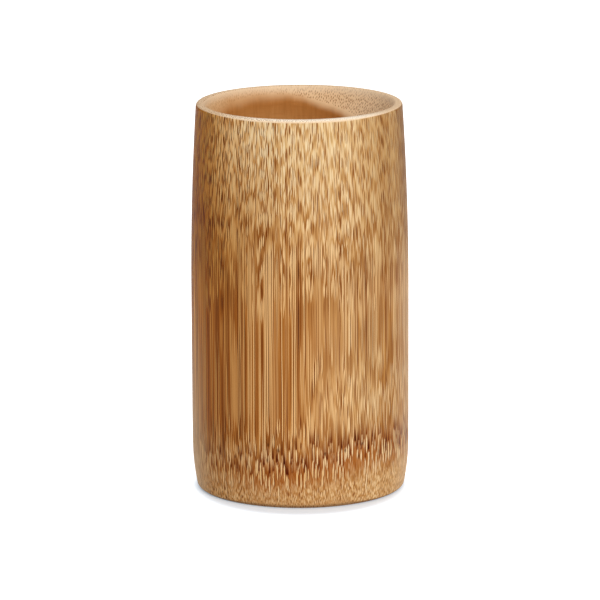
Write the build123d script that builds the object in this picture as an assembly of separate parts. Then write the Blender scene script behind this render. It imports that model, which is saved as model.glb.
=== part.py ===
"""Bamboo cup cut from one length of culm.

The wall is turned outside and bevelled at the mouth. The culm's own node, a cross wall that grows
through the tube, is the cup's floor. What is left of the pith skin lines the hollow above and below it.
The frame has its origin on the table under the turning axis, +Z up, and the photographed side faces -Y.
"""

import os
from math import cos, radians, sin, tan

from build123d import *

# Driving dimensions of the turned outside, in millimetres
HEIGHT = 120.0
BODY_RADIUS = 33.5
FOOT_CURVE_HEIGHT = 15.0  # the outside is straight from here
SHOULDER_HEIGHT = 62.0  # up to here
FOOT_DRAW = 1.5  # how far the outside draws in from the body to the foot
SHOULDER_DRAW = 1.9  # and from the body to the rim

# Driving dimensions of the mouth and the edges
RIM_WALL = 2.4
MOUTH_BEVEL_ANGLE = 18.0  # degrees from the turning axis
BEVEL_LEAST_DEPTH = 3.9  # where the bevel meets the hollow soonest
RIM_OUTER_ROUND = 1.0
RIM_INNER_ROUND = 0.6
FOOT_OUTER_ROUND = 1.2
FOOT_INNER_ROUND = 0.8

# Driving dimensions of the grown hollow, an oval that lies a little off the turning axis
HOLLOW_OFFSET = 2.0
HOLLOW_AZIMUTH = 112.5  # degrees from +X to the side where the wall is thinnest
HOLLOW_OVAL = 0.7  # long radius less short radius
SKIN_THICKNESS = 0.5

# Driving dimensions of the node
FLOOR_HEIGHT = 18.0  # from the table to the flat ring round the floor
NODE_THICKNESS = 5.5
NODE_ROOT = 1.6  # how far the cross wall runs into the culm wall
DISH_DEPTH = 1.2
DISH_MARGIN = 3.0  # flat ring left round each dish, where the hollow is narrowest

# Worked-out sizes
foot_radius = BODY_RADIUS - FOOT_DRAW
rim_radius = BODY_RADIUS - SHOULDER_DRAW
mouth_radius = rim_radius - RIM_WALL
bevel_slope = tan(radians(MOUTH_BEVEL_ANGLE))
hollow_reach = mouth_radius - BEVEL_LEAST_DEPTH * bevel_slope
hollow_long_radius = hollow_reach - HOLLOW_OFFSET
hollow_short_radius = hollow_long_radius - HOLLOW_OVAL
bevel_end_radius = hollow_short_radius - HOLLOW_OFFSET  # inside the hollow all round
bevel_depth = (mouth_radius - bevel_end_radius) / bevel_slope
node_base = FLOOR_HEIGHT - NODE_THICKNESS
hollow_centre = Location(
    (HOLLOW_OFFSET * cos(radians(HOLLOW_AZIMUTH)), HOLLOW_OFFSET * sin(radians(HOLLOW_AZIMUTH)), 0),
    (0, 0, HOLLOW_AZIMUTH),
)

# An edge round is limited by the wall that carries it
ROUND_SHARE = 0.4
rim_outer_round = min(RIM_OUTER_ROUND, ROUND_SHARE * RIM_WALL)
rim_inner_round = min(RIM_INNER_ROUND, ROUND_SHARE * RIM_WALL)
foot_wall = foot_radius - hollow_reach - SKIN_THICKNESS
foot_outer_round = min(FOOT_OUTER_ROUND, ROUND_SHARE * foot_wall)
foot_inner_round = min(FOOT_INNER_ROUND, ROUND_SHARE * foot_wall)


def turned_profile():
    """Half section of the turned blank: foot curve, straight body, shoulder, rim and mouth bevel."""
    foot_edge = (foot_radius, 0)
    body_low = (BODY_RADIUS, FOOT_CURVE_HEIGHT)
    body_high = (BODY_RADIUS, SHOULDER_HEIGHT)
    rim_edge = (rim_radius, HEIGHT)
    mouth_edge = (mouth_radius, HEIGHT)
    bevel_end = (bevel_end_radius, HEIGHT - bevel_depth)
    outline = [
        TangentArc(body_low, foot_edge, tangent=(0, -1)),
        Line(body_low, body_high),
        TangentArc(body_high, rim_edge, tangent=(0, 1)),
        Polyline(rim_edge, mouth_edge, bevel_end, (0, HEIGHT - bevel_depth), (0, 0), foot_edge),
    ]
    section = make_face(outline)
    for corner, radius in (
        (rim_edge, rim_outer_round),
        (mouth_edge, rim_inner_round),
        (foot_edge, foot_outer_round),
    ):
        nearest = section.vertices().sort_by_distance(Vector(*corner, 0))[0]
        section = fillet(nearest, radius)
    return Plane.XZ * section


def oval_prism(margin, low, high):
    """Upright prism on the hollow's oval, widened by margin, from low to high."""
    oval = Ellipse(hollow_long_radius + margin, hollow_short_radius + margin)
    return Pos(0, 0, low) * extrude(hollow_centre * oval, high - low)


def mouth_cone():
    """The space that the mouth bevel opens, from its narrow end to the rim."""
    cone = Cone(bevel_end_radius, mouth_radius, bevel_depth)
    return Pos(0, 0, HEIGHT - bevel_depth / 2) * cone


def culm_wall():
    """The turned wall, open along the hollow, with a groove where the node's cross wall is rooted."""
    wall = revolve(turned_profile(), Axis.Z)
    wall -= oval_prism(SKIN_THICKNESS, 0, HEIGHT)
    wall -= oval_prism(SKIN_THICKNESS + NODE_ROOT, node_base, FLOOR_HEIGHT)
    foot_ring = wall.faces().sort_by(Axis.Z)[0]
    return fillet(foot_ring.inner_wires()[0].edges(), foot_inner_round)


def node_diaphragm():
    """The cross wall: a plate rooted in the culm wall and dished on both faces."""
    plate = oval_prism(SKIN_THICKNESS + NODE_ROOT, node_base, FLOOR_HEIGHT)
    dish_radius = hollow_short_radius - DISH_MARGIN
    ball_radius = (dish_radius**2 + DISH_DEPTH**2) / (2 * DISH_DEPTH)
    ball_rise = ball_radius - DISH_DEPTH
    ball = hollow_centre * Sphere(ball_radius)
    return plate - Pos(0, 0, FLOOR_HEIGHT + ball_rise) * ball - Pos(0, 0, node_base - ball_rise) * ball


def skin_tube(low, high):
    """A stretch of the pith skin that lines the hollow."""
    return oval_prism(SKIN_THICKNESS, low, high) - oval_prism(0, low, high)


def inner_skin():
    """The skin from the floor up to the wavy line where the mouth bevel cuts it off."""
    return skin_tube(FLOOR_HEIGHT, HEIGHT) - mouth_cone()


def foot_skin():
    """The skin of the short hollow under the floor."""
    return skin_tube(foot_inner_round, node_base)


PARTS = {
    "culm_wall": culm_wall,
    "node_diaphragm": node_diaphragm,
    "inner_skin": inner_skin,
    "foot_skin": foot_skin,
}

os.makedirs("parts", exist_ok=True)
for name, build in PARTS.items():
    export_step(build(), f"parts/{name}.step")
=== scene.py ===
"""Looks of the bamboo cup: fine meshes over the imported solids, bamboo materials, studio light and camera.

Lengths are in millimetres up to the moment a mesh is made, which is in metres, as are the camera, the lamps
and the floor. Angles round the cup are measured from +X, so the photographed side, -Y, is at -90 degrees.
"""

from math import cos, pi, radians, sin, sqrt, tan

import bpy
import numpy as np
from mathutils import Matrix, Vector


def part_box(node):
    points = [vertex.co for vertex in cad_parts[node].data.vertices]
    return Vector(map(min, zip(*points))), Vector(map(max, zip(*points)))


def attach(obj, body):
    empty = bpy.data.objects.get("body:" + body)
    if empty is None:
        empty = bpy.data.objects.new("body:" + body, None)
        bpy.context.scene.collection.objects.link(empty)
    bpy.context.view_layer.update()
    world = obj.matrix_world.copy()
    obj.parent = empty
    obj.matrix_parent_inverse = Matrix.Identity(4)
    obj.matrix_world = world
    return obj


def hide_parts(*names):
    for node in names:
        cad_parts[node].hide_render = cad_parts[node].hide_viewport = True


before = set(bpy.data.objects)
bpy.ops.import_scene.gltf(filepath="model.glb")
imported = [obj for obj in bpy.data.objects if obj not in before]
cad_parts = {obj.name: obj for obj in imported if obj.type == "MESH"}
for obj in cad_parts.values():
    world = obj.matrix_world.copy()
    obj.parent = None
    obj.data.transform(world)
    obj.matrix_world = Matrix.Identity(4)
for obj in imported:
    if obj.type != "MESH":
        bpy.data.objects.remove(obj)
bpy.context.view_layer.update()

MM = 0.001

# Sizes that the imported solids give
_, wall_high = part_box("culm_wall")
floor_low, floor_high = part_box("node_diaphragm")
HEIGHT = wall_high.z / MM
BODY_RADIUS = wall_high.x / MM
FLOOR_HEIGHT = floor_high.z / MM
NODE_BASE = floor_low.z / MM

# The turned outside, the mouth and the grown hollow, as in the solids
FOOT_CURVE_HEIGHT = 15.0
SHOULDER_HEIGHT = 62.0
FOOT_RADIUS = BODY_RADIUS - 1.5
RIM_RADIUS = BODY_RADIUS - 1.9
MOUTH_RADIUS = RIM_RADIUS - 2.4
BEVEL_SLOPE = tan(radians(18.0))
BEVEL_LEAST_DEPTH = 3.9
RIM_OUTER_ROUND = 0.96
RIM_INNER_ROUND = 0.6
FOOT_OUTER_ROUND = 1.2
FOOT_INNER_ROUND = 0.8
HOLLOW_OFFSET = 2.0
HOLLOW_AZIMUTH = radians(112.5)
HOLLOW_LONG = MOUTH_RADIUS - BEVEL_LEAST_DEPTH * BEVEL_SLOPE - HOLLOW_OFFSET
HOLLOW_SHORT = HOLLOW_LONG - 0.7
HOLLOW_CENTRE = (HOLLOW_OFFSET * cos(HOLLOW_AZIMUTH), HOLLOW_OFFSET * sin(HOLLOW_AZIMUTH), 0)
SKIN = 0.5
NODE_ROOT = 1.6
DISH_DEPTH = 1.2
DISH_MARGIN = 3.0

# How far from the foot's and the rim's edge the outside's direction is taken where that edge is rounded
FOOT_RUN = 3.0
RIM_RUN = 2

# Mesh fineness: columns round the cup, the fewer that the flat floor needs, and rows up each face
COLUMNS = 600
FLOOR_STEP = 5
ANGLES = -pi + 2 * pi * np.arange(COLUMNS) / COLUMNS
OUTER_ROUND_ROWS = 7
RIM_INNER_ROWS = 6
FOOT_INNER_ROWS = 5
NODE_ROWS = 58
NODE_ROWS_TOP = 25
UPPER_ROWS = 46
UPPER_ROWS_GAP = 0.3
BEVEL_ROWS = 22
HOLLOW_ROWS = 60
RECESS_ROWS = 14
DISH_ROWS = 40

# The node band on the outside: its height, unevenness and pits
NODE_HEIGHT = 16.5
NODE_SPREAD = 5.0
UNEVEN_DEPTH = 0.06
UNEVEN_WAVES = 14
WAVE_COUNTS = (12, 90)
WAVE_CLIMB = 0.9
FRONT_PITS = ((-77.2, 17.2), (-66.0, 17.8))
PIT_COUNT = 12
PIT_HEIGHTS = (15.0, 20.0)
PIT_HALF_WIDTHS = (0.35, 0.5)
PIT_HALF_HEIGHTS = (0.7, 1.5)
PIT_DEPTHS = (0.15, 0.3)
random = np.random.default_rng(11)

# Strips of the bake picture: lowest place, height, and the number of strips that the turn is split into
STRIPS = {
    "outside": (0.0, 0.40, 2),
    "mouth": (0.81, 0.12, 1),
    "foot": (0.935, 0.05, 1),
    "hidden": (0.988, 0.01, 1),
}
STRIP_MARGIN = 0.004

# Shine of the dull varnish
SHINE = 0.04

# The studio: even light, the floor, and the cup's soft shadow on it, deepened by a painted shadow
AMBIENT = 0.45
WHITE = (1, 1, 1, 1)
FLOOR_REACH = 60.0
FLOOR_PAINT = (0.8, 0.8, 0.8, 1)
SHADOW_STRETCH = (1.12, 1.0, 1.0)
SHADOW_SHIFT = (0.0, 0.004, 0.0)
SHADOW_INNER = 0.031
SHADOW_OUTER = 0.0425
SHADOW_STRENGTH = 0.2
SHADOW_TONE = (0.76, 1.0, 1.22, 1)

# The camera, as fitted to the photographed rim, foot and sides
SENSOR_WIDTH = 36.0
LENS = 293.1
CAMERA_PLACE = (0, -1.471, 0.384)
CAMERA_PITCH = radians(90 - 12.496)
CAMERA_ROLL = radians(-0.259)


def hollow_radius(margin=0.0):
    """Distance from the turning axis to the hollow's oval, widened by margin, at each angle."""
    long_radius = HOLLOW_LONG + margin
    short_radius = HOLLOW_SHORT + margin
    along = np.cos(ANGLES - HOLLOW_AZIMUTH)
    across = np.sin(ANGLES - HOLLOW_AZIMUTH)
    square_term = (along / long_radius) ** 2 + (across / short_radius) ** 2
    linear_term = HOLLOW_OFFSET * along / long_radius**2
    plain_term = (HOLLOW_OFFSET / long_radius) ** 2 - 1
    root = np.sqrt(linear_term * linear_term - square_term * plain_term)
    return (linear_term + root) / square_term


def bevel_height(radius):
    """Height at which the mouth bevel has a given radius."""
    return HEIGHT - (MOUTH_RADIUS - radius) / BEVEL_SLOPE


def curve_sag(run, draw, reach):
    """How far an arc that leaves the upright, and draws in by draw over reach, has drawn in after a run."""
    arc_radius = (reach**2 + draw**2) / (2 * draw)
    return arc_radius - sqrt(arc_radius**2 - run**2)


def outer_radius(height):
    """Radius of the turned outside at a height."""
    if height < FOOT_CURVE_HEIGHT:
        run = FOOT_CURVE_HEIGHT - height
        return BODY_RADIUS - curve_sag(run, BODY_RADIUS - FOOT_RADIUS, FOOT_CURVE_HEIGHT)
    if height > SHOULDER_HEIGHT:
        run = height - SHOULDER_HEIGHT
        return BODY_RADIUS - curve_sag(run, BODY_RADIUS - RIM_RADIUS, HEIGHT - SHOULDER_HEIGHT)
    return BODY_RADIUS


def rounded_corner(before, corner, after, radius, steps):
    """Points of the arc that rounds a corner of a profile, from the side of before to the side of after."""
    corner = np.array(corner)
    toward = np.array(before) - corner
    onward = np.array(after) - corner
    toward = toward / np.linalg.norm(toward)
    onward = onward / np.linalg.norm(onward)
    half_turn = np.arccos(np.dot(toward, onward)) / 2
    middle = toward + onward
    centre = corner + middle / np.linalg.norm(middle) * radius / sin(half_turn)
    start = corner + toward * radius / tan(half_turn) - centre
    end = corner + onward * radius / tan(half_turn) - centre
    sweep = np.arccos(np.dot(start, end) / radius**2)
    points = []
    for share in np.linspace(0, 1, steps):
        points.append(centre + (start * sin((1 - share) * sweep) + end * sin(share * sweep)) / sin(sweep))
    return points


def make_waves():
    """Waves round the cup that make the node uneven: count round the turn, climb and start of each."""
    counts = random.integers(*WAVE_COUNTS, UNEVEN_WAVES)
    climbs = random.uniform(-WAVE_CLIMB, WAVE_CLIMB, UNEVEN_WAVES)
    starts = random.uniform(0, 2 * pi, UNEVEN_WAVES)
    return list(zip(counts, climbs, starts))


def make_pits():
    """Small pits along the node: azimuth, height, half width, half height and depth of each."""
    places = [(radians(azimuth), height) for azimuth, height in FRONT_PITS]
    for azimuth in random.uniform(-pi, pi, PIT_COUNT):
        places.append((azimuth, random.uniform(*PIT_HEIGHTS)))
    pits = []
    for azimuth, height in places:
        half_width = random.uniform(*PIT_HALF_WIDTHS)
        half_height = random.uniform(*PIT_HALF_HEIGHTS)
        pits.append((azimuth, height, half_width, half_height, random.uniform(*PIT_DEPTHS)))
    return pits


WAVES = make_waves()
PITS = make_pits()


def unevenness(height):
    """How far the hard node wood lies below the turned surface at each angle."""
    total = np.zeros(COLUMNS)
    for count, climb, start in WAVES:
        total += np.cos(count * ANGLES + climb * height + start)
    share = np.clip(0.5 + total / UNEVEN_WAVES, 0, 1)
    return UNEVEN_DEPTH * share * np.exp(-(((height - NODE_HEIGHT) / NODE_SPREAD) ** 2))


def pit_marks(height):
    """How deep the pits are at each angle, and how dark they are, from 0 to 1."""
    deep = np.zeros(COLUMNS)
    mark = np.zeros(COLUMNS)
    for azimuth, pit_height, half_width, half_height, depth in PITS:
        turn = np.angle(np.exp(1j * (ANGLES - azimuth)))
        across = turn * BODY_RADIUS / half_width
        along = (height - pit_height) / half_height
        share = np.exp(-(across**2) - along**2)
        deep += depth * share
        mark = np.maximum(mark, share)
    return deep, mark


class Section:
    """Rings of points, in metres, that a piece is drawn through. Each ring starts a row of quads."""

    def __init__(self):
        self.rings = []
        self.strips = []
        self.marks = []
        self.creases = []

    def add(self, strip, radius, height, mark=0.0, crease=False):
        """One ring. Radius, height and mark are numbers or one value per column. A crease stays sharp."""
        radius = np.broadcast_to(radius, COLUMNS)
        height = np.broadcast_to(height, COLUMNS)
        self.rings.append(np.stack([radius * np.cos(ANGLES), radius * np.sin(ANGLES), height], axis=1) * MM)
        self.strips.append(strip)
        self.marks.append(np.broadcast_to(mark, COLUMNS))
        self.creases.append(crease)


def wall_section():
    """The turned wall's closed section: up the outside from the foot, over the rim and down the hollow."""
    bore = hollow_radius(SKIN)
    root = hollow_radius(SKIN + NODE_ROOT)
    section = Section()
    section.add("foot", bore, NODE_BASE)
    for turn in np.linspace(0, pi / 2, FOOT_INNER_ROWS):
        inset = FOOT_INNER_ROUND * (1 - cos(turn))
        section.add("foot", bore + inset, FOOT_INNER_ROUND * (1 - sin(turn)))
    above_foot = (outer_radius(FOOT_RUN), FOOT_RUN)
    foot = rounded_corner((0, 0), (FOOT_RADIUS, 0), above_foot, FOOT_OUTER_ROUND, OUTER_ROUND_ROWS)
    ring_inner = bore + FOOT_INNER_ROUND
    for share in (0.25, 0.5, 0.75):
        section.add("foot", ring_inner + (foot[0][0] - ring_inner) * share, 0)
    for radius, height in foot:
        section.add("outside", radius, height)
    add_outside(section, foot[-1][1])
    add_mouth(section, bore)
    section.add("hidden", bore, FLOOR_HEIGHT)
    section.add("hidden", root, FLOOR_HEIGHT)
    section.add("hidden", root, NODE_BASE)
    return section


def add_outside(section, low):
    """The turned outside from a height above the foot's round edge to just below the rim's."""
    high = HEIGHT - RIM_OUTER_ROUND - UPPER_ROWS_GAP
    node_rows = np.linspace(low, NODE_ROWS_TOP, NODE_ROWS)[1:]
    upper_rows = np.linspace(NODE_ROWS_TOP, high, UPPER_ROWS)[1:]
    for height in np.concatenate([node_rows, upper_rows]):
        deep, mark = pit_marks(height)
        section.add("outside", outer_radius(height) - unevenness(height) - deep, height, mark)


def add_mouth(section, bore):
    """The rounded rim and the bevel that runs down from it to the skin."""
    below_rim = (outer_radius(HEIGHT - RIM_RUN), HEIGHT - RIM_RUN)
    rim_edge = (RIM_RADIUS, HEIGHT)
    mouth_edge = (MOUTH_RADIUS, HEIGHT)
    bevel_end = (MOUTH_RADIUS - BEVEL_SLOPE, HEIGHT - 1)
    outer_rim = rounded_corner(below_rim, rim_edge, mouth_edge, RIM_OUTER_ROUND, OUTER_ROUND_ROWS)
    inner_rim = rounded_corner(rim_edge, mouth_edge, bevel_end, RIM_INNER_ROUND, RIM_INNER_ROWS)
    for radius, height in outer_rim + inner_rim:
        section.add("mouth", radius, height)
    top = inner_rim[-1][0]
    for share in np.linspace(0, 1, BEVEL_ROWS)[1:]:
        radius = top + (bore - top) * share
        section.add("mouth", radius, bevel_height(radius), crease=share == 1)


def skin_section(low, high_inner, high_outer, rows):
    """A closed shell that lines the hollow between two heights, which may differ round the hollow."""
    inner = hollow_radius()
    outer = hollow_radius(SKIN)
    section = Section()
    for share in np.linspace(0, 1, rows):
        section.add("outside", inner, low + (high_inner - low) * share, crease=share == 0)
    section.strips[-1] = "mouth"
    for share in np.linspace(1, 0, 3):
        section.add("hidden", outer, low + (high_outer - low) * share, crease=True)
    return section


def dish_faces():
    """Rings of the cross wall's face from its middle to its root: reach at each angle and the dish's sag."""
    inner = hollow_radius()
    dish_radius = HOLLOW_SHORT - DISH_MARGIN
    ball_radius = (dish_radius**2 + DISH_DEPTH**2) / (2 * DISH_DEPTH)
    centre_x, centre_y, _ = HOLLOW_CENTRE
    faces = []
    for share in np.linspace(0.02, 1, DISH_ROWS):
        reach = inner * share
        across = reach * np.cos(ANGLES) - centre_x
        along = reach * np.sin(ANGLES) - centre_y
        out = np.minimum(np.hypot(across, along), dish_radius)
        sag = DISH_DEPTH - (ball_radius - np.sqrt(ball_radius**2 - out**2))
        faces.append((reach, sag))
    faces.append((hollow_radius(SKIN + NODE_ROOT), np.zeros(COLUMNS)))
    return faces


def floor_section():
    """The cross wall: dished on both faces, with a flat ring outside each dish and a plain root."""
    section = Section()
    faces = dish_faces()
    for reach, sag in faces:
        section.add("outside", reach, NODE_BASE + sag)
    for reach, sag in reversed(faces):
        section.add("outside", reach, FLOOR_HEIGHT - sag)
    section.rings = [points[::FLOOR_STEP] for points in section.rings]
    section.marks = [marks[::FLOOR_STEP] for marks in section.marks]
    return section


def row_quads(columns, low, high):
    """The quads between two rings, given the rings' places in the list."""
    first = np.arange(columns)
    onward = (first + 1) % columns
    corners = [low * columns + first, low * columns + onward, high * columns + onward, high * columns + first]
    return np.stack(corners, axis=1).tolist()


def pole_triangles(columns, ring_place, pole, upward):
    """The triangles that close a ring over a pole point."""
    first = np.arange(columns) + ring_place * columns
    onward = np.roll(first, -1)
    ends = (first, onward) if upward else (onward, first)
    return np.stack([*ends, np.full(columns, pole)], axis=1).tolist()


def draw_mesh(name, section, closes):
    """A mesh through a section's rings. It closes on itself, or with a pole at the first and last ring."""
    rings = section.rings
    count = len(rings)
    columns = len(rings[0])
    points = np.concatenate(rings)
    marks = np.concatenate(section.marks)
    faces = []
    for row in range(count if closes else count - 1):
        faces += row_quads(columns, row, (row + 1) % count)
    if not closes:
        poles = [rings[0].mean(axis=0), rings[-1].mean(axis=0)]
        faces += pole_triangles(columns, 0, count * columns, False)
        faces += pole_triangles(columns, count - 1, count * columns + 1, True)
        points = np.concatenate([points, poles])
        marks = np.concatenate([marks, [0, 0]])
    mesh = bpy.data.meshes.new(name)
    mesh.from_pydata(points.tolist(), [], faces)
    mesh.shade_smooth()
    mesh.attributes.new("pit", "FLOAT", "POINT").data.foreach_set("value", marks.astype(np.float32))
    mark_creases(mesh, section.creases, columns)
    return mesh


def mark_creases(mesh, creases, columns):
    """Keeps the shading sharp along the rings that are creases."""
    ends = np.empty(len(mesh.edges) * 2, dtype=np.int32)
    mesh.edges.foreach_get("vertices", ends)
    first, second = (ends.reshape(-1, 2) // columns).T
    creased = np.array([*creases, False])
    sharp = (first == second) & creased[first]
    mesh.attributes.new("sharp_edge", "BOOLEAN", "EDGE").data.foreach_set("value", sharp)


def strip_places(section):
    """Low and high place of every row within its strip, from 0 to 1, by the rows' mean lengths."""
    rings = section.rings
    reached = dict.fromkeys(STRIPS, 0.0)
    spans = []
    for row, strip in enumerate(section.strips):
        onward = rings[(row + 1) % len(rings)]
        length = np.linalg.norm(onward - rings[row], axis=1).mean()
        spans.append((reached[strip], reached[strip] + length))
        reached[strip] += length
    places = []
    for strip, (low, high) in zip(section.strips, spans):
        places.append((low / reached[strip], high / reached[strip]))
    return places


def lay_out(mesh, section):
    """Lays a closed section's quads out in strips of the bake picture. The photographed half has its own."""
    columns = np.arange(COLUMNS)
    corners = []
    for strip, (low, high) in zip(section.strips, strip_places(section)):
        base, height, parts = STRIPS[strip]
        per_part = COLUMNS // parts
        part_base = base + height * (columns // per_part)
        inside = height - STRIP_MARGIN
        left = (columns % per_part) / per_part
        right = left + 1 / per_part
        bottom = part_base + inside * low
        top = part_base + inside * high
        row = [left, bottom, right, bottom, right, top, left, top]
        corners.append(np.stack(row, axis=1).ravel())
    layer = mesh.uv_layers.new(name="OFBake")
    layer.data.foreach_set("uv", np.concatenate(corners).astype(np.float32))


class Shader:
    """Adds shader nodes to one material and links them.

    An input may be a number, a tuple or another node's output.
    """

    def __init__(self, name):
        self.material = bpy.data.materials.new(name)
        self.material.use_nodes = True
        self.tree = self.material.node_tree
        self.tree.nodes.clear()

    def add(self, kind, inputs, output=0, **settings):
        """One node with its settings and inputs. Gives the named or numbered output."""
        node = self.tree.nodes.new(kind)
        for key, value in settings.items():
            setattr(node, key, value)
        for key, value in inputs.items():
            if isinstance(value, bpy.types.NodeSocket):
                self.tree.links.new(value, node.inputs[key])
            else:
                node.inputs[key].default_value = value
        return node.outputs[output] if node.outputs else None

    def math(self, operation, *values):
        """A number worked out from numbers."""
        return self.add("ShaderNodeMath", dict(enumerate(values)), operation=operation)

    def plus(self, first, second):
        """The sum of two numbers."""
        return self.math("ADD", first, second)

    def minus(self, first, second):
        """The first number less the second."""
        return self.math("SUBTRACT", first, second)

    def times(self, first, second):
        """The product of two numbers."""
        return self.math("MULTIPLY", first, second)

    def over(self, first, second):
        """The first number divided by the second."""
        return self.math("DIVIDE", first, second)

    def vector(self, operation, *values):
        """A vector worked out from vectors."""
        return self.add("ShaderNodeVectorMath", dict(enumerate(values)), operation=operation)

    def scaled(self, vector, factor):
        """A vector times a number."""
        return self.add("ShaderNodeVectorMath", {0: vector, "Scale": factor}, operation="SCALE")

    def length(self, vector):
        """The length of a vector."""
        return self.add("ShaderNodeVectorMath", {0: vector}, output="Value", operation="LENGTH")

    def dot(self, first, second):
        """How far one vector runs along another."""
        inputs = {0: first, 1: second}
        return self.add("ShaderNodeVectorMath", inputs, output="Value", operation="DOT_PRODUCT")

    def combined(self, x, y, z):
        """A vector of three numbers."""
        return self.add("ShaderNodeCombineXYZ", {0: x, 1: y, 2: z})

    def parts(self, vector):
        """The three numbers of a vector or colour."""
        return tuple(self.add("ShaderNodeSeparateXYZ", {0: vector}).node.outputs)

    def ramp(self, value, low, high, at_low=0.0, at_high=1.0):
        """A smooth step from at_low to at_high as value goes from low to high."""
        inputs = {"Value": value, "From Min": low, "From Max": high, "To Min": at_low, "To Max": at_high}
        return self.add("ShaderNodeMapRange", inputs, interpolation_type="SMOOTHSTEP")

    def mix(self, share, first, second):
        """A colour between two colours."""
        return self.add("ShaderNodeMix", {0: share, 6: first, 7: second}, output=2, data_type="RGBA")

    def tint(self, share, base, tone):
        """A colour multiplied by a tone, as far as the share says."""
        inputs = {0: share, 6: base, 7: tone}
        return self.add("ShaderNodeMix", inputs, output=2, data_type="RGBA", blend_type="MULTIPLY")

    def noise(self, vector, scale, detail, output="Fac"):
        """Smooth random values, about one change in each unit at a scale of one."""
        inputs = {"Vector": vector, "Scale": scale, "Detail": detail}
        return self.add("ShaderNodeTexNoise", inputs, output=output)

    def finish(self, base, roughness, height, depth):
        """The surface itself: a varnished wood with its colour, roughness and fine relief."""
        bump = self.add("ShaderNodeBump", {"Height": height, "Distance": depth * MM, "Strength": 1.0})
        inputs = {"Base Color": base, "Roughness": roughness, "Normal": bump, "Specular IOR Level": SHINE}
        shader = self.add("ShaderNodeBsdfPrincipled", inputs)
        self.add("ShaderNodeOutputMaterial", {"Surface": shader})
        return self.material


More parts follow.
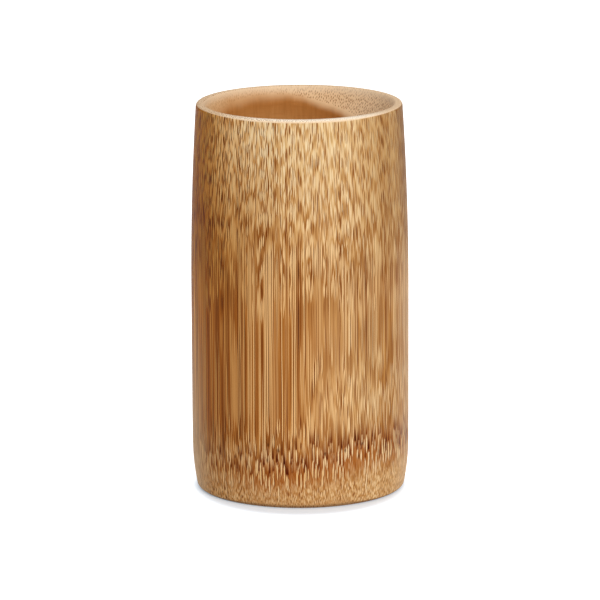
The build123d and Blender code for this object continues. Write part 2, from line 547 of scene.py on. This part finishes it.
class Culm(Shader):
    """A shader with the places that every bamboo finish is worked out from, in millimetres."""

    def __init__(self, name):
        super().__init__(name)
        self.place = self.scaled(self.add("ShaderNodeTexCoord", {}, output="Object"), 1 / MM)
        self.x, self.y, self.height = self.parts(self.place)
        flat = self.combined(self.x, self.y, 0.0)
        self.radius = self.length(flat)
        self.side = self.vector("NORMALIZE", flat)
        around = self.scaled(self.side, BODY_RADIUS)
        self.slow = self.vector("ADD", around, self.combined(0.0, 0.0, self.times(self.height, 0.2)))
        wander = self.vector("SUBTRACT", self.noise(self.slow, 0.14, 1.0, "Color"), (0.5, 0.5, 0.5))
        self.strand = self.vector("ADD", around, self.scaled(wander, 0.6))
        across, behind, _ = self.parts(self.strand)
        turn = self.math("ARCTAN2", across, self.times(behind, -1.0))
        self.arc = self.times(turn, BODY_RADIUS)

    def facing(self, azimuth, low, high):
        """A smooth step round the cup, one on the side that faces an azimuth."""
        turn = radians(azimuth)
        return self.ramp(self.dot(self.side, (cos(turn), sin(turn), 0)), low, high)

    def bell(self, value, middle, spread):
        """One at the middle, falling off smoothly to both sides."""
        away = self.over(self.minus(value, middle), spread)
        return self.math("EXPONENT", self.times(self.times(away, away), -1.0))

    def swing(self, vector, scale, reach):
        """A slow random value between minus and plus half the reach."""
        return self.times(self.minus(self.noise(vector, scale, 2.0), 0.5), reach)

    def fall(self, past, rate):
        """A depth that changes ever faster with the distance past a start."""
        past = self.math("MAXIMUM", past, 0.0)
        return self.times(self.times(past, past), -rate)

    def fibre_depth(self, ragged):
        """Depth among the fibres: level where the outside runs with them, falling where it cuts them.

        The ragged height differs from strand to strand. The calm one, half as ragged, serves above the node.
        """
        calm = self.times(self.plus(ragged, self.height), 0.5)
        node_top = self.plus(25.0, self.times(self.facing(-20.0, -0.6, 0.9), 4.5))
        patch = self.times(self.ramp(calm, 48.0, 26.0), self.facing(-40.0, 0.5, 0.85))
        bends = (
            self.fall(self.minus(ragged, 61.0), 0.0025),  # the shoulder
            self.fall(self.minus(ragged, 82.0), -0.0019),  # its steadier upper part
            self.fall(self.minus(node_top, calm), 0.005),  # the node
            self.fall(self.minus(9.0, self.height), 0.012),  # the foot
            self.times(patch, -1.5),  # the lower right of the photographed side
        )
        depth = self.swing(self.slow, 0.07, 2.0)
        for bend in bends:
            depth = self.plus(depth, bend)
        return depth

    def bundle_space(self, width, thickness, shift):
        """Coordinates in which one bundle is about one unit wide round the culm and one unit thick."""
        x, y, _ = self.parts(self.strand)
        layer = self.plus(self.over(self.depth, thickness), shift)
        return self.combined(self.over(x, width), self.over(y, width), layer)

    def bundle_number(self, width, thickness, shift):
        """A random number for each bundle that the surface cuts."""
        row = self.plus(self.over(self.arc, width), shift)
        layer = self.plus(self.over(self.depth, thickness), shift)
        inputs = {"Vector": self.combined(row, layer, 0.0), "Scale": 1.0, "Randomness": 0.85}
        nearest = self.add("ShaderNodeTexVoronoi", inputs, voronoi_dimensions="2D").node.outputs
        return self.parts(nearest["Color"])[0]

    def single_strands(self, width, shift):
        """Strands round the cup: how far across the nearest one a point lies, and its random numbers."""
        row = self.plus(self.over(self.arc, width), shift)
        inputs = {"W": row, "Scale": 1.0}
        nearest = self.add("ShaderNodeTexVoronoi", inputs, voronoi_dimensions="1D").node.outputs
        across = self.times(self.minus(row, nearest["W"]), width)
        return across, self.parts(nearest["Color"])

    def chains(self, width, period, shift):
        """Strands that are chains of links: a point's place across and along, and the strand's strength."""
        across, (start, stretch, strength) = self.single_strands(width, shift)
        level = self.plus(self.height, self.swing(self.strand, 0.09, 16.0))
        depth = self.fibre_depth(self.plus(level, self.ramp(start, 0.0, 1.0, -14.0, 14.0)))
        links = self.times(self.over(depth, period), self.ramp(stretch, 0.0, 1.0, 0.75, 1.25))
        wave = self.math("SINE", self.times(self.plus(links, start), 2 * pi))
        return self.over(across, width), wave, strength

    def lens(self, across, wave, offset, half_width, softness):
        """Ones in the pointed lenses where the wave is high, to one side of the strand's middle."""
        away = self.math("ABSOLUTE", self.minus(across, offset))
        edge = self.minus(away, self.times(wave, half_width))
        return self.ramp(edge, softness, -softness)

    def dots(self, width, length):
        """Cut fibre ends: one dot in each cell of a width and length, each with its own strength."""
        along = self.over(self.minus(self.height, self.radius), length)
        row = self.combined(self.over(self.arc, width), along, 0.0)
        turned = self.add("ShaderNodeVectorRotate", {"Vector": row, "Angle": 0.55}, rotation_type="Z_AXIS")
        inputs = {"Vector": turned, "Scale": 1.0, "Randomness": 0.72}
        nearest = self.add("ShaderNodeTexVoronoi", inputs, voronoi_dimensions="2D").node.outputs
        strength = self.ramp(self.parts(nearest["Color"])[0], -0.4, 0.6)
        return self.times(self.ramp(nearest["Distance"], 0.36, 0.2), strength)

    def mouth_rise(self):
        """Height above the uneven line where the mouth bevel meets the pith skin, lower to the right."""
        shifted = self.vector("SUBTRACT", self.place, HOLLOW_CENTRE)
        along = self.dot(shifted, (cos(HOLLOW_AZIMUTH), sin(HOLLOW_AZIMUTH), 0))
        across = self.dot(shifted, (-sin(HOLLOW_AZIMUTH), cos(HOLLOW_AZIMUTH), 0))
        oval = self.combined(self.over(along, HOLLOW_LONG), self.over(across, HOLLOW_SHORT), 0.0)
        gap = self.times(self.minus(self.length(oval), 1.0), HOLLOW_SHORT)
        to_rim = self.minus(MOUTH_RADIUS, self.radius)
        rise = self.over(self.plus(gap, to_rim), BEVEL_SLOPE)
        rise = self.minus(self.plus(rise, self.height), HEIGHT)
        tilted = self.plus(rise, self.times(self.x, 0.05))
        return self.plus(tilted, self.swing(self.place, 0.13, 3.0))

    def mouth_fade(self):
        """Zero on the skin and one on the cut wood, with a soft change between them, softer on the left."""
        softness = self.plus(1.0, self.facing(165.0, 0.2, 0.9))
        past = self.minus(self.mouth_rise(), 0.9)
        return self.ramp(self.over(past, softness), -2.0, 1.6)


def colour(red, green, blue):
    """A colour written as it looks on a screen, 0 to 255, in the linear form that shaders use."""
    linear = []
    for level in (red, green, blue):
        share = level / 255
        linear.append(share / 12.92 if share <= 0.04045 else ((share + 0.055) / 1.055) ** 2.4)
    return (*linear, 1)


SKIN_EDGE = colour(190, 126, 64)
BEVEL_TAN = colour(244, 206, 160)
CREAM = colour(255, 224, 174)
PALE_GROUND = colour(244, 206, 150)

# How much of each colour is left on the darkest fibres, strands' ends and bundles; on the left the fibres are
# darker as painted shade
FIBRE_TONE = (0.4, 0.19, 0.036, 1)
SHADED_LEFT_FIBRE_TONE = (0.24, 0.1, 0.014, 1)
STRAND_TONE = (0.36, 0.14, 0.02, 1)
BUNDLE_TONE = (0.6, 0.4, 0.12, 1)

# Patches of paler ground on the front: height, spread, azimuth, where facing it starts and is full, and share
PALE_PATCHES = (
    (37.0, 14.0, -68.0, 0.88, 0.985, 0.45),
    (60.0, 8.0, -73.0, 0.965, 0.996, 0.42),
)

# Thin strands: width, length of a link, shift, how far off the middle the pale and the dark lenses lie, and 1
# where the dark lenses lie beside the pale ones or -1 where they lie between them
THIN_STRANDS = (
    (0.36, 1.05, 500.0, 0.0, 0.0, -1.0),
    (0.64, 1.1, 700.0, -0.17, 0.2, 1.0),
)

# Strands that end at the node: how far below the node's line, width, half width, shift and darkness
NODE_STRANDS = (
    (0.0, 1.35, 0.23, 0.0, 0.95),
    (0.0, 1.1, 0.18, 60.0, 0.9),
    (0.0, 1.1, 0.16, 120.0, 0.85),
    (4.0, 2.4, 0.15, 180.0, 0.0),
)

# Height of the node's line on the left of the photographed side
NODE_LINE = 13.0


def node_line(wood):
    """Height of the ragged line along which the strands end at the node, higher to the right."""
    line = wood.plus(NODE_LINE, wood.times(wood.facing(-20.0, -0.2, 0.9), 4.5))
    return wood.plus(line, wood.swing(wood.strand, 0.12, 3.5))


def strand_ends(wood, line, width, half_width, shift):
    """Strands that end at the node: the dark end, the pale splinter below it and the splinter's shade."""
    across, (chance, strength, stretch) = wood.single_strands(width, shift)
    middle = wood.math("ABSOLUTE", across)
    end = wood.plus(line, wood.times(wood.minus(chance, 0.45), 9.0))
    rise = wood.minus(wood.height, end)
    dark = wood.times(wood.ramp(rise, -0.3, 0.4), wood.ramp(rise, 5.5, 0.3))
    dark = wood.times(dark, wood.ramp(strength, 0.0, 0.6))
    dark = wood.times(dark, wood.ramp(middle, half_width + 0.3, half_width))
    below = wood.times(rise, -1.0)
    rest = wood.minus(wood.plus(0.8, wood.times(stretch, 5.4)), below)
    reach = wood.math("MINIMUM", wood.times(wood.math("MINIMUM", below, rest), 0.16), half_width)
    splinter = wood.ramp(wood.minus(middle, reach), 0.05, -0.05)
    splinter = wood.times(splinter, wood.ramp(stretch, 0.05, 0.7, 0.3, 1.0))
    beside = wood.minus(across, reach)
    shade = wood.times(wood.ramp(beside, 0.0, 0.08), wood.ramp(beside, 0.34, 0.14))
    return dark, splinter, wood.times(shade, wood.ramp(reach, 0.0, 0.1))


def node_band(wood, base, line):
    """The brown band along the node, lower and fainter to the left."""
    rightward = wood.dot(wood.side, (1.0, 0.0, 0.0))
    drop = wood.ramp(rightward, 0.0, 0.7, 3.5, 1.0)
    band = wood.bell(wood.height, wood.minus(line, drop), 5.5)
    share = wood.ramp(rightward, -0.9, 0.6, 0.6, 0.85)
    tone = wood.mix(wood.facing(180.0, 0.2, 0.85), colour(174, 102, 42), colour(182, 124, 68))
    return wood.mix(wood.times(band, share), base, tone)


def node_strands(wood, base, line):
    """The strands that end along the node, paler to the left, and their splinters."""
    tip_share = wood.ramp(wood.facing(180.0, 0.2, 0.85), 0.0, 1.0, 1.0, 0.6)
    for drop, width, half_width, shift, darkness in NODE_STRANDS:
        tip, splinter, shade = strand_ends(wood, wood.minus(line, drop), width, half_width, shift)
        base = wood.tint(wood.times(wood.times(tip, tip_share), darkness), base, STRAND_TONE)
        base = wood.tint(wood.times(shade, 0.6), base, STRAND_TONE)
        base = wood.mix(splinter, base, CREAM)
    return base


def side_tints_and_painted_shade(wood, upper):
    """Tones of the sides, partly the wood's own and partly painted shade: the share at each height, the
    azimuth and how nearly it is faced, and the tone.
    """
    above_node = wood.ramp(wood.height, 12.0, 28.0, 0.3, 1.0)
    straight = wood.times(wood.minus(1.0, upper), above_node)
    return (
        # Painted shade on the left, on its upper edge and on the upper edge on the right
        (above_node, (180.0, 0.25, 0.95), (0.95, 0.72, 0.45, 1)),
        (wood.ramp(wood.height, 56.0, 92.0), (180.0, 0.62, 1.0), (0.55, 0.36, 0.06, 1)),
        (wood.ramp(wood.height, 64.0, 110.0), (0.0, 0.88, 1.0), (0.56, 0.46, 0.36, 1)),
        # The shoulder on the left and on the right
        (wood.bell(wood.height, 74.0, 22.0), (180.0, 0.3, 0.9), (0.84, 0.76, 0.54, 1)),
        (wood.bell(wood.height, 68.0, 8.0), (-10.0, 0.45, 0.85), (0.88, 0.78, 0.68, 1)),
        # The straight body: all but its right, then left of the middle, then the middle
        (straight, (180.0, -0.75, 0.1), (0.94, 0.84, 0.7, 1)),
        (straight, (-137.0, 0.9, 0.985), (0.84, 0.78, 0.68, 1)),
        (straight, (-96.0, 0.75, 0.97), (0.94, 0.87, 0.8, 1)),
        # The shoulder left of the middle, and the body right of the middle
        (wood.bell(wood.height, 92.0, 20.0), (-114.0, 0.945, 0.99), (0.86, 0.78, 0.68, 1)),
        (wood.ramp(wood.height, 24.0, 44.0), (-45.0, 0.96, 0.997), (0.9, 0.84, 0.76, 1)),
        # Under the node's splinters, the node on the right, and the upper right
        (wood.bell(wood.height, 10.5, 2.8), (-110.0, 0.5, 0.95), (0.88, 0.76, 0.6, 1)),
        (wood.bell(wood.height, 17.0, 4.0), (-10.0, 0.6, 0.95), (0.84, 0.77, 0.66, 1)),
        (wood.ramp(wood.height, 60.0, 96.0), (-5.0, 0.55, 0.95), (0.7, 0.6, 0.48, 1)),
    )


def side_tones_and_painted_light(wood, base, upper):
    """Browner wood to the left of the photographed side, paler to its right and darker upper edges: partly
    the wood's tone, partly painted shade, and a painted sheen low on both sides.
    """
    for level, faced, tone in side_tints_and_painted_shade(wood, upper):
        base = wood.tint(wood.times(level, wood.facing(*faced)), base, tone)
    # Painted sheen: paler low on the left and right edges, as if they caught the floor's light
    painted_sheen_low_left = wood.times(wood.ramp(wood.height, 70.0, 12.0, 0.0, 0.65), wood.facing(180.0, 0.8, 1.0))
    base = wood.mix(painted_sheen_low_left, base, colour(206, 172, 132))
    painted_sheen_low_right = wood.times(wood.ramp(wood.height, 84.0, 64.0, 0.0, 0.25), wood.facing(0.0, 0.82, 1.0))
    return wood.mix(painted_sheen_low_right, base, colour(238, 204, 164))


def grain_strength(wood, upper):
    """How strong the grain is: most on the left of the photographed side and least on its right."""
    left_gain = wood.times(wood.facing(180.0, 0.0, 0.7), wood.ramp(upper, 0.2, 0.7, 0.0, 0.75))
    centre_loss = wood.times(wood.facing(0.0, -0.8, 0.3), 0.34)
    right_loss = wood.times(wood.facing(0.0, 0.2, 0.9), wood.ramp(upper, 0.0, 1.0, 0.16, 0.0))
    return wood.minus(wood.plus(1.0, left_gain), wood.plus(centre_loss, right_loss))


def shoulder_flames(wood, base):
    """Pale and brown flames where the shoulder cuts across the bundles, and a browner ring."""
    flames = wood.noise(wood.bundle_space(3.2, 0.7, 17.0), 1.0, 1.0)
    shoulder = wood.bell(wood.height, 82.0, 20.0)
    pale = wood.times(wood.ramp(flames, 0.5, 0.36, 0.0, 0.5), shoulder)
    base = wood.mix(pale, base, colour(240, 200, 142))
    brown = wood.times(wood.ramp(flames, 0.52, 0.68), shoulder)
    base = wood.tint(brown, base, (0.93, 0.87, 0.76, 1))
    return wood.tint(wood.bell(wood.height, 72.0, 8.0), base, (0.88, 0.84, 0.78, 1))


def ground_colour(wood, upper, foot):
    """The wood between the bundles: plain and brown bands, paler patches, flames, and scales at the foot."""
    bands = wood.noise(wood.bundle_space(1.0, 0.9, 5.0), 1.0, 2.0)
    broad = wood.noise(wood.bundle_space(7.0, 2.4, 13.0), 1.0, 2.0)
    clouds = wood.noise(wood.vector("MULTIPLY", wood.place, (1.0, 1.0, 0.6)), 0.14, 2.0)
    plain = wood.mix(upper, colour(208, 152, 86), colour(242, 206, 150))
    brown = wood.mix(upper, colour(174, 115, 56), colour(222, 174, 114))
    base = wood.mix(wood.ramp(bands, 0.34, 0.66), plain, brown)
    base = wood.mix(wood.ramp(broad, 0.4, 0.65, 0.0, 0.3), base, brown)
    base = wood.mix(wood.ramp(clouds, 0.45, 0.7, 0.0, 0.4), base, brown)
    for height, spread, azimuth, start, full, share in PALE_PATCHES:
        patch = wood.times(wood.bell(wood.height, height, spread), wood.facing(azimuth, start, full))
        base = wood.mix(wood.times(patch, share), base, PALE_GROUND)
    base = shoulder_flames(wood, base)
    scales = wood.mix(wood.dots(1.1, 1.3), colour(204, 152, 92), colour(228, 184, 126))
    return wood.mix(foot, base, scales)


def soft_bundles(wood, base, pale, upper):
    """Soft brown and pale bundles, fainter at both sides."""
    sides_loss = wood.times(wood.plus(wood.facing(180.0, 0.3, 0.9), wood.facing(0.0, 0.3, 0.9)), 0.4)
    share = wood.times(wood.ramp(upper, 0.0, 0.4, 0.26, 0.4), wood.minus(1.0, sides_loss))
    number = wood.bundle_number(2.7, 0.8, 80.0)
    base = wood.tint(wood.times(wood.ramp(number, 0.45, 0.9, 0.0, 0.25), share), base, BUNDLE_TONE)
    base = wood.mix(wood.times(wood.ramp(number, 0.4, 0.0, 0.0, 0.4), share), base, pale)
    across, wave, _ = wood.chains(0.95, 1.15, 300.0)
    base = wood.tint(wood.times(wood.lens(across, wave, 0.0, -0.5, 0.2), share), base, BUNDLE_TONE)
    return wood.mix(wood.times(wood.lens(across, wave, 0.0, 0.4, 0.2), share), base, pale)


def grain_colour(wood, upper, foot):
    """Soft bundles and thin strands on the ground, each a chain of pale and dark lenses along the culm.

    Gives the colour and the dark lenses of the last strands, which are the relief.
    """
    pale = wood.mix(upper, colour(254, 220, 168), colour(255, 231, 186))
    strong = wood.times(grain_strength(wood, upper), wood.ramp(foot, 0.0, 1.0, 1.0, 0.85))
    pale_share = wood.times(strong, wood.ramp(upper, 0.0, 1.0, 1.9, 0.95))
    dark_share = wood.times(strong, wood.ramp(upper, 0.0, 0.6, 1.4, 1.25))
    half_width = wood.ramp(upper, 0.0, 0.8, 0.29, 0.36)
    # Painted shade: darker fibres to the left of the photographed side
    fibre_tone = wood.mix(wood.facing(180.0, 0.1, 0.75), FIBRE_TONE, SHADED_LEFT_FIBRE_TONE)
    base = soft_bundles(wood, ground_colour(wood, upper, foot), pale, upper)
    for width, period, shift, pale_offset, dark_offset, dark_wave in THIN_STRANDS:
        across, wave, strength = wood.chains(width, period, shift)
        dark = wood.lens(across, wave, dark_offset, wood.times(half_width, dark_wave), 0.05)
        dark = wood.times(dark, wood.ramp(strength, 0.0, 0.7))
        light = wood.lens(across, wave, pale_offset, half_width, 0.05)
        light = wood.times(light, wood.ramp(strength, 1.0, 0.3))
        base = wood.tint(wood.times(dark, dark_share), base, fibre_tone)
        base = wood.mix(wood.times(light, pale_share), base, pale)
    return base, dark


def outside_colour(wood):
    """The turned outside: the grain, the strands' ends along the node, and the tones of the sides with their
    painted shade and sheen.
    """
    upper = wood.ramp(wood.height, 58.0, 118.0)
    line = node_line(wood)
    foot_rise = wood.times(wood.minus(line, NODE_LINE), 0.6)
    foot = wood.ramp(wood.minus(wood.height, foot_rise), 10.0, 5.0)
    base, relief = grain_colour(wood, upper, foot)
    base = node_band(wood, base, line)
    base = node_strands(wood, base, line)
    return side_tones_and_painted_light(wood, base, upper), relief


def bevel_tan(wood):
    """The plain tone of the mouth bevel: browner to the left of the photographed side, and paler to its right
    as painted light.
    """
    tan_left = wood.tint(wood.facing(175.0, 0.3, 0.95), BEVEL_TAN, (0.86, 0.79, 0.7, 1))
    # Painted light: paler where the mouth's right side faces away from the lamps
    return wood.mix(wood.facing(10.0, 0.5, 0.95), tan_left, colour(252, 220, 178))


def cut_colour(wood, facing_up):
    """Cut fibre ends: a rim painted cream where it faces the light, a tan bevel that darkens into the skin,
    and a tan foot.
    """
    # Painted light: the rim is cream where its front faces the lamps, and tan at the sides and back
    rim = wood.mix(wood.facing(-85.0, 0.5, 0.97), colour(234, 202, 164), colour(255, 238, 214))
    rim_dots = wood.plus(0.4, wood.times(wood.facing(-150.0, 0.0, 0.8), 0.6))
    rim = wood.mix(wood.times(wood.dots(0.6, 0.6), rim_dots), rim, colour(150, 98, 52))
    dots = wood.dots(0.56, 0.8)
    bevel_dots = wood.plus(0.45, wood.times(wood.facing(30.0, 0.1, 0.7), 0.35))
    bevel = wood.mix(wood.times(dots, bevel_dots), bevel_tan(wood), colour(146, 84, 34))
    bevel = wood.mix(wood.ramp(wood.height, HEIGHT - 3.0, HEIGHT, 0.0, 0.7), bevel, colour(252, 226, 192))
    bevel = wood.mix(wood.mouth_fade(), SKIN_EDGE, bevel)
    foot = wood.mix(dots, colour(206, 158, 104), colour(160, 108, 60))
    # Painted shade: a grey-blue darkening along the lowest millimetre of the foot, where it meets the floor
    foot = wood.tint(wood.bell(wood.height, 0.6, 0.5), foot, (0.58, 0.58, 0.62, 1))
    upward = wood.mix(wood.ramp(facing_up, 0.45, 0.75), bevel, rim)
    return wood.mix(wood.ramp(facing_up, 0.0, -0.02), upward, foot)


def bamboo_material():
    """Turned bamboo: fibre bundles stand upright in paler tissue, and the turned surface cuts across them.

    A point's place round the culm and its depth among the fibres pick the bundle that it lies in. Where the
    outside runs with the fibres the bundles show as long streaks, and where it slopes they show as short
    flecks. At both sides the grain runs on over the rim's outer round.
    """
    wood = Culm("turned_bamboo")
    wood.depth = wood.fibre_depth(wood.plus(wood.height, wood.swing(wood.strand, 0.22, 22.0)))
    facing_up = wood.parts(wood.add("ShaderNodeTexCoord", {}, output="Normal"))[2]
    along, relief = outside_colour(wood)
    across = cut_colour(wood, facing_up)
    sides = wood.plus(wood.facing(180.0, 0.4, 0.95), wood.facing(0.0, 0.4, 0.95))
    rolled = wood.times(sides, wood.ramp(wood.radius, MOUTH_RADIUS + 0.6, RIM_RADIUS - 1.0, 0.0, 0.45))
    slope = wood.minus(wood.math("ABSOLUTE", facing_up), rolled)
    base = wood.mix(wood.ramp(slope, 0.1, 0.28), along, across)
    pit = wood.add("ShaderNodeAttribute", {}, output="Fac", attribute_name="pit")
    base = wood.mix(wood.ramp(pit, 0.2, 0.9, 0.0, 0.7), base, colour(70, 34, 16))
    return wood.finish(base, 0.5, relief, -0.02)


def skin_material():
    """Pith skin: orange brown with faint upright streaks and fainter cross lines, darkest under the bevel."""
    wood = Culm("pith_skin")
    streaks = wood.noise(wood.vector("MULTIPLY", wood.place, (1.0, 1.0, 0.12)), 0.9, 3.0)
    cross = wood.noise(wood.vector("MULTIPLY", wood.place, (0.1, 0.1, 1.0)), 1.6, 2.0)
    base = wood.mix(wood.ramp(wood.mouth_rise(), -1.0, -12.0), SKIN_EDGE, colour(210, 156, 96))
    base = wood.mix(wood.ramp(streaks, 0.45, 0.7, 0.0, 0.3), base, colour(160, 98, 42))
    base = wood.mix(wood.ramp(streaks, 0.45, 0.25, 0.0, 0.25), base, colour(222, 166, 104))
    base = wood.mix(wood.ramp(cross, 0.5, 0.7, 0.0, 0.2), base, colour(170, 106, 50))
    base = wood.mix(wood.mouth_fade(), base, bevel_tan(wood))
    return wood.finish(base, 0.55, streaks, 0.05)


def node_material():
    """The cross wall: dull mottled brown with darker spots, browner toward its edge."""
    wood = Culm("node_wood")
    mottle = wood.noise(wood.place, 0.25, 4.0)
    spots = wood.noise(wood.place, 1.3, 2.0)
    base = wood.mix(wood.ramp(mottle, 0.35, 0.65), colour(204, 156, 100), colour(172, 118, 66))
    base = wood.mix(wood.ramp(spots, 0.52, 0.72, 0.0, 0.5), base, colour(126, 78, 38))
    base = wood.mix(wood.ramp(wood.radius, 16.0, 25.0, 0.0, 0.6), base, colour(140, 88, 42))
    return wood.finish(base, 0.6, mottle, 0.3)


def make_piece(mesh, node, material):
    """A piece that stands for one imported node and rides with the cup."""
    piece = bpy.data.objects.new(mesh.name, mesh)
    bpy.context.scene.collection.objects.link(piece)
    mesh.materials.append(material)
    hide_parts(node)
    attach(piece, "root")


def make_closed_piece(name, section, node, material):
    """A piece drawn through a closed section, with its strips for baking."""
    mesh = draw_mesh(name, section, True)
    lay_out(mesh, section)
    make_piece(mesh, node, material)


def make_camera():
    """The photograph's camera: a long lens a little above the rim, pitched down at the cup's middle."""
    data = bpy.data.cameras.new("camera")
    data.sensor_width = SENSOR_WIDTH
    data.lens = LENS
    camera = bpy.data.objects.new("camera", data)
    aim = Matrix.Rotation(CAMERA_PITCH, 4, "X") @ Matrix.Rotation(CAMERA_ROLL, 4, "Z")
    camera.matrix_world = Matrix.Translation(CAMERA_PLACE) @ aim
    bpy.context.scene.collection.objects.link(camera)
    bpy.context.scene.camera = camera


def make_light(name, azimuth, elevation, distance, size, power):
    """A soft square lamp that looks at the cup from an azimuth off the camera's side, to the right."""
    data = bpy.data.lights.new(name, "AREA")
    data.size = size
    data.energy = power
    lamp = bpy.data.objects.new(name, data)
    turn = radians(azimuth)
    lift = radians(elevation)
    out = (sin(turn) * cos(lift), -cos(turn) * cos(lift), sin(lift))
    aim = Matrix.Rotation(turn, 4, "Z") @ Matrix.Rotation(pi / 2 - lift, 4, "X")
    lamp.matrix_world = Matrix.Translation([share * distance for share in out]) @ aim
    bpy.context.scene.collection.objects.link(lamp)


def make_world():
    """Dim even light from all round."""
    world = bpy.data.worlds.new("studio")
    bpy.context.scene.world = world
    world.use_nodes = True
    background = world.node_tree.nodes["Background"]
    background.inputs["Color"].default_value = WHITE
    background.inputs["Strength"].default_value = AMBIENT


def sees_white(shader):
    """One where the camera or a reflection looks straight at a surface, and zero for light on its way."""
    path = shader.add("ShaderNodeLightPath", {}).node.outputs
    seen = shader.math("MAXIMUM", path["Is Camera Ray"], path["Is Glossy Ray"])
    return shader.math("MAXIMUM", seen, path["Is Transmission Ray"])


def floor_material():
    """Pale paint that is white in the picture, with the cup's soft shadow and a painted shadow round the cup.
    """
    shader = Shader("floor_paint")
    paint = shader.add("ShaderNodeBsdfDiffuse", {"Color": FLOOR_PAINT})
    place = shader.add("ShaderNodeTexCoord", {}, output="Object")
    stretched = shader.vector("MULTIPLY", place, SHADOW_STRETCH)
    away = shader.length(shader.vector("ADD", stretched, SHADOW_SHIFT))
    # Painted shadow: the glow is weaker and cooler inside an oval round the cup's foot
    clear = shader.ramp(away, SHADOW_INNER, SHADOW_OUTER)
    strength = shader.times(sees_white(shader), shader.ramp(clear, 0.0, 1.0, SHADOW_STRENGTH, 1.0))
    tone = shader.mix(clear, SHADOW_TONE, WHITE)
    glow = shader.add("ShaderNodeEmission", {"Color": tone, "Strength": strength})
    surface = shader.add("ShaderNodeAddShader", {0: paint, 1: glow})
    shader.add("ShaderNodeOutputMaterial", {"Surface": surface})
    return shader.material


def make_floor():
    """A wide flat floor under the cup."""
    quarters = ((-1, -1), (1, -1), (1, 1), (-1, 1))
    corners = [(x * FLOOR_REACH, y * FLOOR_REACH, 0) for x, y in quarters]
    mesh = bpy.data.meshes.new("studio_floor")
    mesh.from_pydata(corners, [], [(0, 1, 2, 3)])
    mesh.materials.append(floor_material())
    floor = bpy.data.objects.new("studio_floor", mesh)
    bpy.context.scene.collection.objects.link(floor)


skin = skin_material()
inner_top = bevel_height(hollow_radius())
outer_top = bevel_height(hollow_radius(SKIN))
hollow = skin_section(FLOOR_HEIGHT, inner_top, outer_top, HOLLOW_ROWS)
recess = skin_section(FOOT_INNER_ROUND, NODE_BASE, NODE_BASE, RECESS_ROWS)
make_closed_piece("turned_wall", wall_section(), "culm_wall", bamboo_material())
make_closed_piece("hollow_skin", hollow, "inner_skin", skin)
make_closed_piece("recess_skin", recess, "foot_skin", skin)
make_piece(draw_mesh("cup_floor", floor_section(), False), "node_diaphragm", node_material())

make_camera()
make_world()
make_floor()
make_light("key", azimuth=24, elevation=30, distance=2.5, size=1.2, power=29)
make_light("top", azimuth=0, elevation=90, distance=1.2, size=0.5, power=2.8)
bpy.context.scene.view_settings.view_transform = "Standard"
